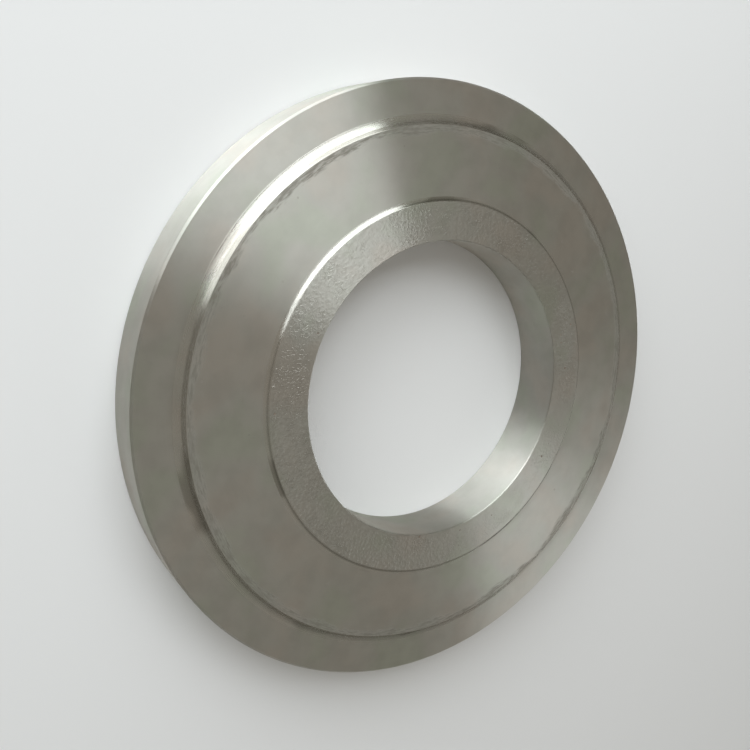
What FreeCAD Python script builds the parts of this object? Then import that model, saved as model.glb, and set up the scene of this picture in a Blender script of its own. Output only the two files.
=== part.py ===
import FreeCAD, Part
import math
import os

import Sketcher

# A stepped ring: a seamless rolled forging, turned all over.
#
# It is one piece of steel. A wide rim carries a first raised face, and that face
# carries a second, smaller one round a plain bore. Each rise has a sloping flank
# with a large fillet at its root and a broken edge at its top.
#
# Frame, in millimetres: the ring lies on its flat back face. The origin is the centre
# of that face, and +Z is the axis of the ring, towards the stepped side.

NODE = "stepped_ring"

SIZES = [
    # alias, value, what it is
    ("outer_diameter", 640, "across the rim"),
    ("bore_diameter", 320, "across the plain bore"),
    ("step_diameter", 550, "across the first raised face, at its edge"),
    ("boss_diameter", 400, "across the second raised face, at its edge"),
    ("rim_thickness", 50, "from the back face to the rim's face"),
    ("step_rise", 7, "from the rim's face to the first raised face"),
    ("boss_rise", 3, "from the first raised face to the second"),
    ("flank_angle", 50, "of both flanks, from the faces, in degrees"),
    ("step_fillet", 10, "radius at the root of the first flank"),
    ("boss_fillet", 4, "radius at the root of the second flank"),
    ("rim_chamfer", 2, "on the front outer edge"),
    ("back_chamfer", 2, "on the back outer edge"),
    ("bore_chamfer", 1, "on both edges of the bore"),
    ("edge_break", 0.5, "on the edges of the two raised faces"),
]


def fill_sheet(doc):
    """The driving sizes, one to a row: its name, its value, what it is."""
    sheet = doc.addObject("Spreadsheet::Sheet", "Sizes")
    for row, (alias, value, note) in enumerate(SIZES, start=1):
        sheet.set("A%d" % row, alias)
        sheet.set("B%d" % row, str(value))
        sheet.set("C%d" % row, note)
        sheet.setAlias("B%d" % row, alias)
    doc.recompute()
    return sheet


def origin_plane(body, role):
    return next(plane for plane in body.Origin.OriginFeatures if plane.Role == role)


def section_corners(sheet):
    """Corners of the sharp section as radius and height, from the bore's back edge round."""
    slope = math.tan(math.radians(sheet.flank_angle))
    step_height = sheet.rim_thickness + sheet.step_rise
    full_height = step_height + sheet.boss_rise
    return [
        (sheet.bore_diameter / 2, 0),
        (sheet.outer_diameter / 2, 0),
        (sheet.outer_diameter / 2, sheet.rim_thickness),
        (sheet.step_diameter / 2 + sheet.step_rise / slope, sheet.rim_thickness),
        (sheet.step_diameter / 2, step_height),
        (sheet.boss_diameter / 2 + sheet.boss_rise / slope, step_height),
        (sheet.boss_diameter / 2, full_height),
        (sheet.bore_diameter / 2, full_height),
    ]


def draw_section(body, corners):
    """Half of the ring's section, with sharp corners, in the plane of X and Z."""
    sketch = body.newObject("Sketcher::SketchObject", "Section")
    sketch.AttachmentSupport = [(origin_plane(body, "XZ_Plane"), "")]
    sketch.MapMode = "FlatFace"

    points = [FreeCAD.Vector(radius, height, 0) for radius, height in corners]
    back, rim, rim_face, step_flank, step_face, boss_flank, boss_face, bore = (
        sketch.addGeometry(Part.LineSegment(start, end), False)
        for start, end in zip(points, points[1:] + points[:1])
    )
    sides = [back, rim, rim_face, step_flank, step_face, boss_flank, boss_face, bore]
    start, end = 1, 2
    origin, x_axis = (-1, 1), -1

    for side, following in zip(sides, sides[1:] + sides[:1]):
        sketch.addConstraint(Sketcher.Constraint("Coincident", side, end, following, start))
    for side in (rim_face, step_face, boss_face):
        sketch.addConstraint(Sketcher.Constraint("Horizontal", side))
    for side in (rim, bore):
        sketch.addConstraint(Sketcher.Constraint("Vertical", side))
    for tip in (start, end):
        sketch.addConstraint(Sketcher.Constraint("PointOnObject", back, tip, x_axis))

    def bind(constraint, name, formula):
        index = sketch.addConstraint(constraint)
        sketch.renameConstraint(index, name)
        sketch.setExpression("Constraints." + name, formula)

    def radius(name, side, tip, diameter):
        value = points[side + tip - 1].x
        bind(
            Sketcher.Constraint("DistanceX", *origin, side, tip, value),
            name,
            "Sizes.%s / 2" % diameter,
        )

    def rise(name, side, size):
        value = points[side + 1].y - points[side].y
        bind(
            Sketcher.Constraint("DistanceY", side, start, side, end, value),
            name,
            "Sizes.%s" % size,
        )

    def slant(name, side):
        run, climb = points[side + 1].x - points[side].x, points[side + 1].y - points[side].y
        bind(
            Sketcher.Constraint("Angle", side, math.atan2(climb, run)),
            name,
            "180 - Sizes.flank_angle",
        )

    radius("bore_radius", back, start, "bore_diameter")
    radius("outer_radius", back, end, "outer_diameter")
    radius("step_radius", step_face, start, "step_diameter")
    radius("boss_radius", boss_face, start, "boss_diameter")
    rise("rim_thickness", rim, "rim_thickness")
    rise("step_rise", step_flank, "step_rise")
    rise("boss_rise", boss_flank, "boss_rise")
    slant("step_angle", step_flank)
    slant("boss_angle", boss_flank)
    return sketch


def turn_section(body, sketch):
    turned = body.newObject("PartDesign::Revolution", "Turned")
    turned.Profile = sketch
    turned.ReferenceAxis = (sketch, ["V_Axis"])
    turned.Angle = 360
    sketch.Visibility = False
    return turned


def edges_at(feature, corners):
    """Names of the feature's round edges that run through these corners of the section."""
    names = []
    for radius, height in corners:
        for number, edge in enumerate(feature.Shape.Edges, start=1):
            if not isinstance(edge.Curve, Part.Circle):
                continue
            here = abs(edge.Curve.Radius - radius) + abs(edge.Curve.Center.z - height)
            if here < 1e-6:
                names.append("Edge%d" % number)
    if len(names) != len(corners):
        raise RuntimeError("%s: found %d of %d edges" % (feature.Name, len(names), len(corners)))
    return names


def dress(body, kind, name, base, corners, size):
    """A Fillet or Chamfer on the edges at these corners, bound to a size in the sheet."""
    feature = body.newObject("PartDesign::" + kind, name)
    feature.Base = (base, edges_at(base, corners))
    feature.setExpression("Radius" if kind == "Fillet" else "Size", "Sizes." + size)
    body.Document.recompute()
    return feature


def make_ring(doc, sheet):
    body = doc.addObject("PartDesign::Body", "Ring")
    body.Label = NODE
    corners = section_corners(sheet)
    turned = turn_section(body, draw_section(body, corners))
    doc.recompute()

    (
        bore_back,
        rim_back,
        rim_front,
        step_root,
        step_edge,
        boss_root,
        boss_edge,
        bore_front,
    ) = corners
    tip = dress(body, "Fillet", "StepFillet", turned, [step_root], "step_fillet")
    tip = dress(body, "Fillet", "BossFillet", tip, [boss_root], "boss_fillet")
    tip = dress(body, "Chamfer", "EdgeBreak", tip, [step_edge, boss_edge], "edge_break")
    tip = dress(body, "Chamfer", "RimChamfer", tip, [rim_front], "rim_chamfer")
    tip = dress(body, "Chamfer", "BackChamfer", tip, [rim_back], "back_chamfer")
    tip = dress(body, "Chamfer", "BoreChamfer", tip, [bore_back, bore_front], "bore_chamfer")
    body.Tip = tip
    body.Placement = FreeCAD.Placement()
    return body


def check(doc, body):
    for item in doc.Objects:
        if "Invalid" in item.State or "Error" in item.State:
            raise RuntimeError("%s failed: %s" % (item.Name, item.State))
    if body.Shape.isNull() or not body.Shape.isValid():
        raise RuntimeError("%s has no valid shape" % body.Label)
    if len(body.Shape.Solids) != 1:
        raise RuntimeError("%s isn't one solid" % body.Label)


def main():
    doc = FreeCAD.newDocument("SteppedRing")
    ring = make_ring(doc, fill_sheet(doc))
    doc.recompute()
    check(doc, ring)
    os.makedirs("parts", exist_ok=True)
    ring.Shape.exportStep("parts/%s.step" % ring.Label)
    box = ring.Shape.optimalBoundingBox()
    print(
        "%s: %.1f x %.1f x %.1f mm, volume %.0f mm3"
        % (ring.Label, box.XLength, box.YLength, box.ZLength, ring.Shape.Volume)
    )


main()
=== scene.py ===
"""A rolled steel ring, turned all over, with two raised faces, lying on a studio floor."""

import math

import bmesh
import bpy
from mathutils import Matrix, Vector


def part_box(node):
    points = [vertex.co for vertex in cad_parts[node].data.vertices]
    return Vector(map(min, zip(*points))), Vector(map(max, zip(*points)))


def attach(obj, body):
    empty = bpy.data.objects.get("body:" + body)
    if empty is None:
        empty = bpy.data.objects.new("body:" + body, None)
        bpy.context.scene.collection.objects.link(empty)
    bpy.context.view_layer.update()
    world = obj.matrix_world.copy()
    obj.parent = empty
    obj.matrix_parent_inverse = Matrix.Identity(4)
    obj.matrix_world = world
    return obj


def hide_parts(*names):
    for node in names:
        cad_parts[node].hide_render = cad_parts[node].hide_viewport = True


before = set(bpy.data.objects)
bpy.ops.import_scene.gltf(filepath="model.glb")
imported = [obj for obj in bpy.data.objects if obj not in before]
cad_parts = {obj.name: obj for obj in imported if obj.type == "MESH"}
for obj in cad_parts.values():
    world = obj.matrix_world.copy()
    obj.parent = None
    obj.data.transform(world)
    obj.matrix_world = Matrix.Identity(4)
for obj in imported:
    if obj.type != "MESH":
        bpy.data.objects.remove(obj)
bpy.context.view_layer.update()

bl_info = {
    "name": "Stepped Ring",
    "version": (1, 0, 0),
    "blender": (4, 5, 0),
    "location": "View3D > Sidebar > Ring",
    "description": "Turns a stepped steel ring and sets it on a studio floor",
    "category": "Object",
}

NODE = "stepped_ring"
MM = 0.001

RING_LOW, RING_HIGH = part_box(NODE)

# Segments of each rounded or chamfered corner of the section.
FILLET_SEGMENTS = 14
SMALL_FILLET_SEGMENTS = 10
EDGE_SEGMENTS = 3
CHAMFER_SEGMENTS = 1
ROUND_PROFILE = 0.5
FLATTER_PROFILE = 0.42

# How near two points, heights or directions are before they count as the same.
SLACK = 0.02 * MM
LEVEL_SLACK = 0.001 * MM
WELD = 0.01 * MM
STRAIGHT = math.radians(5)

# Edges bent by less than this shade smooth.
SMOOTH_ANGLE = math.radians(30)

# Scales of the noise in the metal: the two sets of lines are finer across the grooves than along them.
FINE_LINES = 800
BROAD_LINES = 160
WISPS = 520
# The next scale sets the size of the painted dark reflections on the slopes.
DARK_REFLECTION_SCALE = 30
PATCHES = 15
CLOUDS = 42
GRAIN = 280
CURLS = 240
SPOTS = 120.0
SPOT_SIZES = 60

# Heights of the marks in the metal, as multiples of the depth of the tool lines.
LINE_HEIGHT = 2.2
FINE_ON_SLOPES = 2.6
BROAD_ON_SLOPES = 9
GRAIN_HEIGHT = 19
CURL_HEIGHT = 5.5
PIT_DEPTH = 6
RIDGE_HEIGHT = 2.2

# How far the outer edge of the first raised face sinks.
EDGE_SAG = 0.2 * MM

# Turns the stretch of the highlights square to the grooves.
GROOVE_TURN = 0.25

FLOOR_ROUGHNESS = 0.9
FLOOR_SPECULAR = 0.1

# Height, on a sphere of radius 1, above which the room has its overhead brightness.
CEILING_FROM = 0.5

# Softboxes: name, azimuth and elevation in degrees, then distance, width and height in metres.
TALL_SOFTBOX = ("tall_softbox", 217.6, 33, 3.3, 3.42, 3.95)
LOW_SOFTBOX = ("low_softbox", 243, 17, 3.3, 3.1, 1.65)
FILL_SOFTBOX = ("fill_softbox", 82, 36, 3.3, 1.5, 1.3)
LOW_SHARE = 0.88

SENSOR_WIDTH = 36
LENS_SHIFT = (-0.1007, -0.0327)
CLIP_RANGE = (0.01, 50)


class RingSizes(bpy.types.PropertyGroup):
    """The lengths of the ring's section."""

    outer_diameter: bpy.props.FloatProperty(
        name="Outside", description="Diameter of the rim", unit="LENGTH", default=RING_HIGH.x - RING_LOW.x
    )
    bore_diameter: bpy.props.FloatProperty(
        name="Bore", description="Diameter of the bore", unit="LENGTH", default=320 * MM
    )
    step_diameter: bpy.props.FloatProperty(
        name="Step", description="Diameter of the first raised face", unit="LENGTH", default=550 * MM
    )
    boss_diameter: bpy.props.FloatProperty(
        name="Boss", description="Diameter of the second raised face", unit="LENGTH", default=400 * MM
    )
    step_rise: bpy.props.FloatProperty(
        name="Step Rise", description="Height of the first face over the rim", unit="LENGTH", default=7 * MM
    )
    boss_rise: bpy.props.FloatProperty(
        name="Boss Rise", description="Height of the second face over the first", unit="LENGTH",
        default=3 * MM
    )
    overall_height: bpy.props.FloatProperty(
        name="Height", description="Back face to boss face", unit="LENGTH", default=RING_HIGH.z - RING_LOW.z
    )
    flank_angle: bpy.props.FloatProperty(
        name="Flank", description="Slope of the two flanks", subtype="ANGLE", default=math.radians(50)
    )
    step_fillet: bpy.props.FloatProperty(
        name="Step Fillet", description="Radius at the foot of the first flank", unit="LENGTH",
        default=10 * MM
    )
    boss_fillet: bpy.props.FloatProperty(
        name="Boss Fillet", description="Radius at the foot of the second flank", unit="LENGTH",
        default=4 * MM
    )
    rim_chamfer: bpy.props.FloatProperty(
        name="Rim Chamfer", description="Chamfer on both rim edges", unit="LENGTH", default=2 * MM
    )
    bore_chamfer: bpy.props.FloatProperty(
        name="Bore Chamfer", description="Chamfer on both bore edges", unit="LENGTH", default=1 * MM
    )
    edge_break: bpy.props.FloatProperty(
        name="Edge Break", description="Broken top edge of each flank", unit="LENGTH", default=0.5 * MM
    )
    steps_round: bpy.props.IntProperty(
        name="Steps Round", description="Facets round the ring", default=720, min=48
    )


class RingFinish(bpy.types.PropertyGroup):
    """The look of the turned steel."""

    steel: bpy.props.FloatVectorProperty(
        name="Steel", description="Colour of the clean metal", subtype="COLOR", size=3,
        default=(0.53, 0.52, 0.475)
    )
    warm_tint: bpy.props.FloatVectorProperty(
        name="Warm Tint", description="Reddish patches of oil film", subtype="COLOR", size=3,
        default=(0.545, 0.515, 0.465)
    )
    green_tint: bpy.props.FloatVectorProperty(
        name="Green Tint", description="Greenish patches of oil film", subtype="COLOR", size=3,
        default=(0.51, 0.522, 0.455)
    )
    # Besides the real stains and cloudy tone, this colour also darkens the slopes as a painted reflection.
    stain: bpy.props.FloatVectorProperty(
        name="Stain", description="Dull ragged stains at the step", subtype="COLOR", size=3,
        default=(0.18, 0.167, 0.137)
    )
    # Painted shade: this colour darkens the first flank in place of the dark surroundings that it would
    # mirror; the metal there is no darker.
    flank: bpy.props.FloatVectorProperty(
        name="Flank", description="Darker metal on the first flank", subtype="COLOR", size=3,
        default=(0.44, 0.42, 0.37)
    )
    rust: bpy.props.FloatVectorProperty(
        name="Rust", description="Brown pits on the boss", subtype="COLOR", size=3,
        default=(0.14, 0.09, 0.055)
    )
    rust_place: bpy.props.FloatVectorProperty(
        name="Rust Place", description="Middle of the rusty patch on the boss", subtype="TRANSLATION",
        size=3, default=(-0.118, 0.142, 0.06)
    )
    rust_reach: bpy.props.FloatProperty(
        name="Rust Reach", description="How far the rusty patch reaches", unit="LENGTH", default=55 * MM
    )
    roughness: bpy.props.FloatProperty(
        name="Roughness", description="Roughness of the turned faces", subtype="FACTOR", default=0.38
    )
    slope_roughness: bpy.props.FloatProperty(
        name="Slope Roughness", description="Roughness of the flanks and their fillets", subtype="FACTOR",
        default=0.27
    )
    groove_stretch: bpy.props.FloatProperty(
        name="Groove Stretch", description="How far highlights spread across the tool lines",
        subtype="FACTOR", default=0.985
    )
    line_depth: bpy.props.FloatProperty(
        name="Line Depth", description="Depth of the tool lines", unit="LENGTH", default=0.02 * MM
    )


class StageSizes(bpy.types.PropertyGroup):
    """Floor, lamps and camera."""

    floor_colour: bpy.props.FloatVectorProperty(
        name="Floor", description="Colour of the floor", subtype="COLOR", size=3, default=(0.8, 0.8, 0.8)
    )
    floor_width: bpy.props.FloatProperty(
        name="Floor Width", description="Width of the floor", unit="LENGTH", default=14.0
    )
    ceiling_level: bpy.props.FloatProperty(
        name="Ceiling Level", description="Brightness of the room overhead", default=0.35
    )
    horizon_level: bpy.props.FloatProperty(
        name="Horizon Level", description="Brightness of the room along the floor", default=0.10
    )
    room_colour: bpy.props.FloatVectorProperty(
        name="Room", description="Colour of the light in the room", subtype="COLOR", size=3,
        default=(1.0, 0.955, 0.86)
    )
    window_level: bpy.props.FloatProperty(
        name="Window Level", description="Brightness of the two large softboxes", default=3.05
    )
    fill_level: bpy.props.FloatProperty(
        name="Fill Level", description="Brightness of the small softbox behind the ring", default=0.56
    )
    window_colour: bpy.props.FloatVectorProperty(
        name="Window", description="Colour of the softboxes", subtype="COLOR", size=3,
        default=(0.91, 0.965, 1.0)
    )
    camera_place: bpy.props.FloatVectorProperty(
        name="Camera Place", description="Where the camera stands", subtype="TRANSLATION", size=3,
        default=(0.0001, -0.5329, 0.7256)
    )
    camera_aim: bpy.props.FloatVectorProperty(
        name="Camera Aim", description="Point on its lens axis", subtype="TRANSLATION", size=3,
        default=(-0.0433, -0.0038, 0.05)
    )
    camera_roll: bpy.props.FloatProperty(
        name="Camera Roll", description="Turn about the lens axis", subtype="ANGLE",
        default=math.radians(106.72)
    )
    lens: bpy.props.FloatProperty(
        name="Lens", description="Focal length in millimetres", default=38.23
    )


def clear_selection():
    """Back to object mode with nothing selected."""
    if bpy.context.mode != "OBJECT":
        bpy.ops.object.mode_set(mode="OBJECT")
    bpy.ops.object.select_all(action="DESELECT")


def pick(piece, kind, wanted):
    """In edit mode, selects the vertices or edges whose middle passes the test."""
    bpy.ops.mesh.select_all(action="DESELECT")
    mesh = bmesh.from_edit_mesh(piece.data)
    found = False
    for part in getattr(mesh, kind):
        if kind == "verts":
            middle = part.co
        else:
            middle = (part.verts[0].co + part.verts[1].co) / 2
        if wanted(middle):
            part.select_set(True)
            found = True
    bmesh.update_edit_mesh(piece.data)
    if not found:
        raise RuntimeError(f"nothing to select among the {kind} of {piece.name}")


def at(x, z):
    """Test for a point of the section at radius x and height z."""
    return lambda p: abs(p.x - x) < SLACK and abs(p.z - z) < SLACK


def raise_face(ring, radius, level, rise, flank_angle):
    """Cuts the top edge of the section at the flank's foot, lifts what is inside it and slopes its end."""
    run = rise / math.tan(flank_angle)
    foot = radius + run
    bpy.ops.mesh.select_all(action="SELECT")
    bpy.ops.mesh.bisect(plane_co=(foot, 0, 0), plane_no=(1, 0, 0))
    pick(ring, "edges", lambda p: abs(p.z - level) < LEVEL_SLACK and p.x < foot)
    bpy.ops.mesh.extrude_region_move(TRANSFORM_OT_translate={"value": (0, 0, rise)})
    pick(ring, "verts", at(foot, level + rise))
    bpy.ops.transform.translate(value=(-run, 0, 0))
    return foot


def round_corner(ring, x, z, length, segments, profile=ROUND_PROFILE):
    """Rounds or chamfers one corner of the section, length back along each side."""
    pick(ring, "verts", at(x, z))
    bpy.ops.mesh.bevel(
        offset_type="OFFSET", offset=length, segments=segments, profile=profile, affect="VERTICES"
    )


def turn_ring(sizes):
    """Draws half the section from a plane and spins it about the ring's axis."""
    inner = sizes.bore_diameter / 2
    outer = sizes.outer_diameter / 2
    step = sizes.step_diameter / 2
    boss = sizes.boss_diameter / 2
    top = sizes.overall_height
    rim_level = top - sizes.step_rise - sizes.boss_rise
    step_level = rim_level + sizes.step_rise
    wall = outer - inner
    middle = (inner + outer) / 2

    clear_selection()
    bpy.ops.mesh.primitive_plane_add(
        size=wall, location=(middle, 0, rim_level / 2), rotation=(math.pi / 2, 0, 0)
    )
    ring = bpy.context.object
    ring.name = "turned_ring"
    ring.data.name = "turned_ring"
    bpy.ops.object.transform_apply(location=True, rotation=True, scale=True)
    bpy.ops.object.mode_set(mode="EDIT")
    bpy.ops.transform.resize(
        value=(1, 1, rim_level / wall), center_override=(middle, 0, rim_level / 2)
    )
    step_foot = raise_face(ring, step, rim_level, sizes.step_rise, sizes.flank_angle)
    boss_foot = raise_face(ring, boss, step_level, sizes.boss_rise, sizes.flank_angle)
    bpy.ops.mesh.select_all(action="SELECT")
    bpy.ops.mesh.normals_make_consistent(inside=False)
    bpy.ops.mesh.dissolve_limited(angle_limit=STRAIGHT)

    half_turn = math.tan(sizes.flank_angle / 2)
    round_corner(
        ring, step_foot, rim_level, sizes.step_fillet * half_turn, FILLET_SEGMENTS, FLATTER_PROFILE
    )
    round_corner(ring, boss_foot, step_level, sizes.boss_fillet * half_turn, SMALL_FILLET_SEGMENTS)
    for x, z in ((step, step_level), (boss, top)):
        round_corner(ring, x, z, sizes.edge_break, EDGE_SEGMENTS)
    for z in (rim_level, 0):
        round_corner(ring, outer, z, sizes.rim_chamfer, CHAMFER_SEGMENTS)
    for z in (top, 0):
        round_corner(ring, inner, z, sizes.bore_chamfer, CHAMFER_SEGMENTS)

    bpy.ops.mesh.select_all(action="SELECT")
    bpy.ops.mesh.delete(type="ONLY_FACE")
    bpy.ops.mesh.select_all(action="SELECT")
    bpy.ops.mesh.spin(
        steps=sizes.steps_round, angle=math.tau, use_auto_merge=True, center=(0, 0, 0), axis=(0, 0, 1)
    )
    bpy.ops.mesh.select_all(action="SELECT")
    bpy.ops.mesh.remove_doubles(threshold=WELD)
    bpy.ops.mesh.normals_make_consistent(inside=False)
    bpy.ops.object.mode_set(mode="OBJECT")
    bpy.ops.object.shade_smooth_by_angle(angle=SMOOTH_ANGLE)
    bpy.ops.object.modifier_add(type="WEIGHTED_NORMAL")
    ring.modifiers[-1].keep_sharp = True
    bpy.ops.object.modifier_apply(modifier=ring.modifiers[-1].name)
    return ring


class Signal:
    """A socket of a material, with the sums that the recipes use."""

    def __init__(self, recipe, socket):
        self.recipe = recipe
        self.socket = socket

    def __add__(self, other):
        return self.recipe.sum("ADD", self, other)

    def __radd__(self, other):
        return self.recipe.sum("ADD", other, self)

    def __sub__(self, other):
        return self.recipe.sum("SUBTRACT", self, other)

    def __rsub__(self, other):
        return self.recipe.sum("SUBTRACT", other, self)

    def __mul__(self, other):
        return self.recipe.sum("MULTIPLY", self, other)

    def __rmul__(self, other):
        return self.recipe.sum("MULTIPLY", other, self)

    def __truediv__(self, other):
        return self.recipe.sum("DIVIDE", self, other)

    def __pow__(self, other):
        return self.recipe.sum("POWER", self, other)


class Recipe:
    """Builds one material from expressions on signals."""

    def __init__(self, name):
        self.material = bpy.data.materials.new(name)
        self.material.use_nodes = True
        self.tree = self.material.node_tree
        self.tree.nodes.clear()

    def add(self, kind, settings=None, sockets=None, out=0):
        """Adds a node of a type, gives it its settings, then its sockets' values or links."""
        node = self.tree.nodes.new(kind)
        for key, value in (settings or {}).items():
            setattr(node, key, value)
        for key, value in (sockets or {}).items():
            if isinstance(value, Signal):
                self.tree.links.new(value.socket, node.inputs[key])
            else:
                node.inputs[key].default_value = value
        if isinstance(out, tuple):
            return [Signal(self, node.outputs[key]) for key in out]
        if not node.outputs:
            return node
        return Signal(self, node.outputs[out])

    def sum(self, operation, first, second):
        """One Math node."""
        return self.add("ShaderNodeMath", {"operation": operation}, {0: first, 1: second})

    def point(self, x, y, z):
        """Three signals or numbers as one vector."""
        return self.add("ShaderNodeCombineXYZ", sockets={0: x, 1: y, 2: z})

    def noise(self, where, scale=1.0, detail=2.0, roughness=0.5):
        """Soft noise, about 0.25 to 0.75."""
        return self.add(
            "ShaderNodeTexNoise", {"noise_dimensions": "3D"},
            {"Vector": where, "Scale": scale, "Detail": detail, "Roughness": roughness}
        )

    def away(self, signal, value):
        """How far a signal is from a value."""
        return self.add("ShaderNodeMath", {"operation": "ABSOLUTE"}, {0: signal - value})

    def far(self, where, point):
        """Distance from a point, in metres."""
        return self.add(
            "ShaderNodeVectorMath", {"operation": "DISTANCE"}, {0: where, 1: point}, out="Value"
        )

    def between(self, signal, low, high):
        """0 at low, 1 at high, eased; low may be the larger."""
        return self.add(
            "ShaderNodeMapRange", {"interpolation_type": "SMOOTHSTEP"},
            {"Value": signal, "From Min": low, "From Max": high}
        )

    def blend(self, amount, first, second):
        """Mixes two colours."""
        return self.add(
            "ShaderNodeMix", {"data_type": "RGBA"}, {0: amount, 6: colour(first), 7: colour(second)}, out=2
        )


def colour(value):
    """A colour property as a socket takes it; a signal stays as it is."""
    return value if isinstance(value, Signal) else (*value, 1.0)


def turned_steel(finish, sizes):
    """Turned steel: tool lines round the axis, oil tints, stains at the step, pits on the boss, with
    painted shade on the first flank and painted dark reflections on the slopes.
    """
    r = Recipe("turned_steel")
    place = r.add("ShaderNodeTexCoord", out="Object")
    x, y, z = r.add("ShaderNodeSeparateXYZ", sockets={0: place}, out=(0, 1, 2))
    radius = (x * x + y * y) ** 0.5
    across = radius - z
    round_x = x / radius
    round_y = y / radius

    top = sizes.overall_height
    step_level = top - sizes.boss_rise
    rim_level = step_level - sizes.step_rise
    step = sizes.step_diameter / 2
    boss = sizes.boss_diameter / 2
    inner = sizes.bore_diameter / 2
    outer = sizes.outer_diameter / 2
    step_foot = step + sizes.step_rise / math.tan(sizes.flank_angle) + sizes.step_fillet * 0.4
    boss_foot = boss + sizes.boss_rise / math.tan(sizes.flank_angle) + sizes.boss_fillet * 0.4

    def along(turns, lines):
        """Coordinates that run round the ring slowly and across its tool lines fast."""
        return r.point(round_x * turns, round_y * turns, across * lines)

    def band(low, high, soft=0.4 * MM):
        """1 between two radii."""
        return r.between(radius, low - soft, low + soft) * r.between(radius, high + soft, high - soft)

    upward = r.between(z, rim_level - 3 * MM, rim_level - 1 * MM)
    on_boss = upward * r.between(radius, boss, boss - 0.8 * MM)
    on_boss = on_boss * r.between(radius, inner + 0.2 * MM, inner + 1 * MM)
    on_step = upward * band(boss_foot, step - 0.2 * MM)
    first_slope = band(step, step_foot + 0.4 * MM, 0.5 * MM)
    second_slope = band(boss, boss_foot + 0.2 * MM)
    on_slopes = upward * (first_slope + second_slope)
    # Where the painted shade of the first flank goes.
    flank_shade_mask = upward * band(step, step + 3.5 * MM, 0.6 * MM)
    on_bore = r.between(radius, inner + 0.8 * MM, inner + 0.2 * MM)
    on_rim = r.between(radius, outer - 0.8 * MM, outer - 0.2 * MM)

    fine_lines = r.noise(along(2.5, FINE_LINES), detail=3, roughness=0.6)
    broad_lines = r.noise(along(1.5, BROAD_LINES), detail=2)
    patches = r.noise(place, PATCHES, detail=2)
    clouds = r.noise(place, CLOUDS, detail=3, roughness=0.55)
    grain = r.noise(place, GRAIN, detail=2, roughness=0.55)
    curls = r.between(r.away(r.noise(place, CURLS, detail=1), 0.5), 0.05, 0.0)
    curls = curls * r.between(clouds, 0.40, 0.58)

    edge = step - radius
    wisps = r.noise(along(22, WISPS), detail=4, roughness=0.65)
    reach = 6.5 * MM + 24 * MM * (r.noise(along(4.5, 0), detail=3) - 0.5) + 10 * MM * (wisps - 0.5)
    stain = on_step * r.between(reach - edge, -2.5 * MM, 2.5 * MM)
    stain = stain * (0.35 + 0.65 * r.between(wisps, 0.36, 0.62))
    sag = r.between(radius, step - 9 * MM, step)
    ridge = r.between(r.away(radius, step_foot + 0.1 * MM), 0.8 * MM, 0.0)
    # Painted reflection: dark patches on the slopes stand in for dark things in the room that the flanks
    # would mirror.
    dark_reflection = on_slopes * r.between(r.noise(along(3.2, DARK_REFLECTION_SCALE), detail=2), 0.56, 0.68)

    spot_distance, spot_luck = r.add(
        "ShaderNodeTexVoronoi", {"feature": "F1"}, {"Vector": place, "Scale": SPOTS, "Randomness": 1.0},
        out=("Distance", "Color")
    )
    spot_chance = r.add("ShaderNodeSeparateColor", sockets={0: spot_luck}, out=0)
    rusty = r.between(r.far(place, finish.rust_place), finish.rust_reach, finish.rust_reach * 0.45)
    needed = 0.93 - 0.05 * on_boss - 0.42 * rusty * on_boss
    spot_size = 0.08 + 0.16 * r.noise(place, SPOT_SIZES)
    pits = r.between(spot_distance - spot_size, 0.03, -0.03) * r.between(spot_chance - needed, 0.0, 0.03)
    pits = pits * r.between(clouds, 0.40, 0.52) * (on_boss + 0.3 * on_step)
    bloom = on_boss * rusty * r.between(grain * 0.6 + clouds * 0.4, 0.47, 0.6)

    warm = r.between(patches, 0.48, 0.66)
    green = r.between(patches, 0.50, 0.34)
    metal = r.blend(warm, finish.steel, finish.warm_tint)
    metal = r.blend(green, metal, finish.green_tint)
    metal = r.blend(r.between(clouds, 0.35, 0.7) * 0.10, metal, finish.stain)
    # Painted shade on the first flank, varied along the tool lines.
    metal = r.blend(flank_shade_mask * (0.75 + 0.8 * (broad_lines - 0.5)), metal, finish.flank)
    # Painted dark reflection on the slopes, in the stain colour at half strength.
    metal = r.blend(dark_reflection * 0.5, metal, finish.stain)
    metal = r.blend(stain * 0.85, metal, finish.stain)
    metal = r.blend(bloom * 0.16, metal, finish.rust)
    metal = r.blend(pits * 0.8, metal, finish.rust)

    roughness = finish.roughness + 0.05 * (clouds - 0.5)
    roughness = roughness + 0.06 * (broad_lines - 0.5) + 0.06 * (fine_lines - 0.5)
    roughness = roughness + on_boss * (0.22 * (grain - 0.5) - 0.05 * curls)
    roughness = roughness + on_slopes * (finish.slope_roughness - finish.roughness)
    roughness = roughness + on_bore * 0.09 + on_rim * 0.03 - on_step * 0.015 + pits * 0.2
    shine = 1 - stain * 0.6 - pits * 0.8 - bloom * 0.2

    depth = finish.line_depth
    fine_height = depth * (LINE_HEIGHT + FINE_ON_SLOPES * on_slopes)
    broad_height = depth * (LINE_HEIGHT + BROAD_ON_SLOPES * on_slopes)
    height = fine_lines * fine_height + broad_lines * broad_height
    boss_height = grain * (depth * GRAIN_HEIGHT) + curls * (depth * CURL_HEIGHT)
    height = height + on_boss * boss_height - pits * (depth * PIT_DEPTH)
    height = height + ridge * (depth * RIDGE_HEIGHT) - upward * sag * sag * EDGE_SAG
    bump = r.add("ShaderNodeBump", sockets={"Strength": 1.0, "Distance": 1.0, "Height": height})
    shader = r.add(
        "ShaderNodeBsdfPrincipled",
        sockets={
            "Base Color": metal,
            "Metallic": shine,
            "Roughness": roughness,
            "Anisotropic": finish.groove_stretch,
            "Anisotropic Rotation": GROOVE_TURN,
            "Normal": bump,
        },
    )
    r.add("ShaderNodeOutputMaterial", sockets={"Surface": shader})
    return r.material


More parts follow.
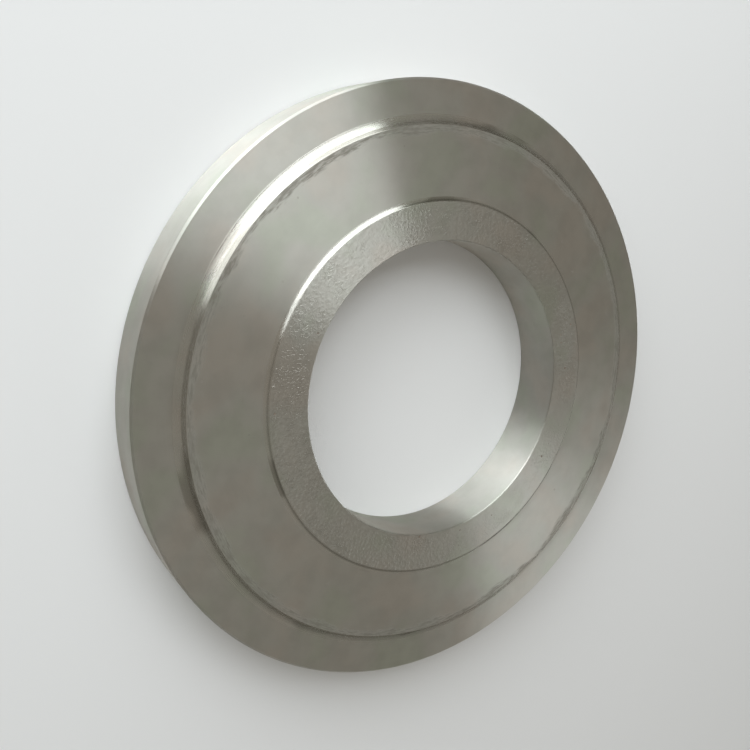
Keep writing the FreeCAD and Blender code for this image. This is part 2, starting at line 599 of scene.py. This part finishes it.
def plain_floor(stage):
    """Matt pale paint for the floor."""
    r = Recipe("pale_floor")
    shader = r.add(
        "ShaderNodeBsdfPrincipled",
        sockets={
            "Base Color": (*stage.floor_colour, 1),
            "Roughness": FLOOR_ROUGHNESS,
            "Specular IOR Level": FLOOR_SPECULAR,
        },
    )
    r.add("ShaderNodeOutputMaterial", sockets={"Surface": shader})
    return r.material


def dress(piece, material):
    """Gives a piece its one material."""
    piece.data.materials.clear()
    piece.data.materials.append(material)


class RING_OT_turn(bpy.types.Operator):
    """Turns the steel ring from its section and gives it its finish"""

    bl_idname = "ring.turn"
    bl_label = "Turn the Ring"

    def execute(self, context):
        ring = turn_ring(context.scene.ring_sizes)
        dress(ring, turned_steel(context.scene.ring_finish, context.scene.ring_sizes))
        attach(ring, "root")
        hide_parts(NODE)
        return {"FINISHED"}


def add_softbox(name, azimuth, elevation, reach, width, height, level, tint):
    """Adds a rectangular area lamp that faces the ring, with a face of the level's brightness."""
    azimuth = math.radians(azimuth)
    elevation = math.radians(elevation)
    away = Vector((
        math.cos(azimuth) * math.cos(elevation),
        math.sin(azimuth) * math.cos(elevation),
        math.sin(elevation),
    ))
    clear_selection()
    bpy.ops.object.light_add(type="AREA", location=away * reach)
    lamp = bpy.context.object
    lamp.name = name
    lamp.data.shape = "RECTANGLE"
    lamp.data.size = width
    lamp.data.size_y = height
    lamp.data.energy = level * math.pi * width * height
    lamp.data.color = tint
    lamp.rotation_euler = (-away).to_track_quat("-Z", "Y").to_euler()
    lamp.visible_camera = False


def light_room(stage):
    """Lights the world evenly round the ring, darker along the floor than overhead."""
    world = bpy.data.worlds.new("studio")
    world.use_nodes = True
    tree = world.node_tree
    backing = tree.nodes["Background"]
    direction = tree.nodes.new("ShaderNodeTexCoord")
    parts = tree.nodes.new("ShaderNodeSeparateXYZ")
    rise = tree.nodes.new("ShaderNodeMapRange")
    tree.links.new(direction.outputs["Generated"], parts.inputs[0])
    tree.links.new(parts.outputs["Z"], rise.inputs["Value"])
    rise.inputs["From Max"].default_value = CEILING_FROM
    rise.inputs["To Min"].default_value = stage.horizon_level
    rise.inputs["To Max"].default_value = stage.ceiling_level
    tree.links.new(rise.outputs[0], backing.inputs["Strength"])
    backing.inputs["Color"].default_value = (*stage.room_colour, 1)
    return world


def lay_floor(stage):
    """A pale floor under the ring."""
    clear_selection()
    bpy.ops.mesh.primitive_plane_add(size=stage.floor_width, location=(0, 0, 0))
    floor = bpy.context.object
    floor.name = "floor"
    dress(floor, plain_floor(stage))


def hang_lamps(stage):
    """Two large softboxes, and a small one behind the ring."""
    tint = stage.window_colour
    add_softbox(*TALL_SOFTBOX, stage.window_level, tint)
    add_softbox(*LOW_SOFTBOX, stage.window_level * LOW_SHARE, tint)
    add_softbox(*FILL_SOFTBOX, stage.fill_level, tint)


def stand_camera(stage):
    """A camera that looks down on the ring, rolled about its lens axis."""
    place = Vector(stage.camera_place)
    aim = Vector(stage.camera_aim)
    clear_selection()
    bpy.ops.object.camera_add(location=place)
    camera = bpy.context.object
    camera.name = "camera"
    level = (aim - place).to_track_quat("-Z", "Y").to_matrix()
    camera.rotation_euler = (level @ Matrix.Rotation(stage.camera_roll, 3, "Z")).to_euler()
    camera.data.lens = stage.lens
    camera.data.sensor_width = SENSOR_WIDTH
    camera.data.shift_x, camera.data.shift_y = LENS_SHIFT
    camera.data.clip_start, camera.data.clip_end = CLIP_RANGE
    return camera


class RING_OT_stage(bpy.types.Operator):
    """Lays the floor, hangs the lamps and stands the camera"""

    bl_idname = "ring.stage"
    bl_label = "Set the Stage"

    def execute(self, context):
        stage = context.scene.ring_stage
        lay_floor(stage)
        hang_lamps(stage)
        context.scene.world = light_room(stage)
        context.scene.camera = stand_camera(stage)
        context.scene.view_settings.view_transform = "Standard"
        return {"FINISHED"}


class RING_PT_panel(bpy.types.Panel):
    """Sizes, finish and stage of the ring"""

    bl_idname = "RING_PT_panel"
    bl_label = "Stepped Ring"
    bl_space_type = "VIEW_3D"
    bl_region_type = "UI"
    bl_category = "Ring"

    def draw(self, context):
        for title, group, operator in (
            ("Ring", context.scene.ring_sizes, "ring.turn"),
            ("Finish", context.scene.ring_finish, None),
            ("Stage", context.scene.ring_stage, "ring.stage"),
        ):
            box = self.layout.box()
            box.label(text=title)
            for key in group.__annotations__:
                box.prop(group, key)
            if operator:
                box.operator(operator)


CLASSES = (RingSizes, RingFinish, StageSizes, RING_OT_turn, RING_OT_stage, RING_PT_panel)


def register():
    for cls in CLASSES:
        bpy.utils.register_class(cls)
    bpy.types.Scene.ring_sizes = bpy.props.PointerProperty(type=RingSizes)
    bpy.types.Scene.ring_finish = bpy.props.PointerProperty(type=RingFinish)
    bpy.types.Scene.ring_stage = bpy.props.PointerProperty(type=StageSizes)


def unregister():
    del bpy.types.Scene.ring_stage
    del bpy.types.Scene.ring_finish
    del bpy.types.Scene.ring_sizes
    for cls in reversed(CLASSES):
        bpy.utils.unregister_class(cls)


def main():
    """Registers the add-on and makes everything in order."""
    register()
    bpy.ops.ring.turn()
    bpy.ops.ring.stage()


if __name__ == "__main__":
    main()
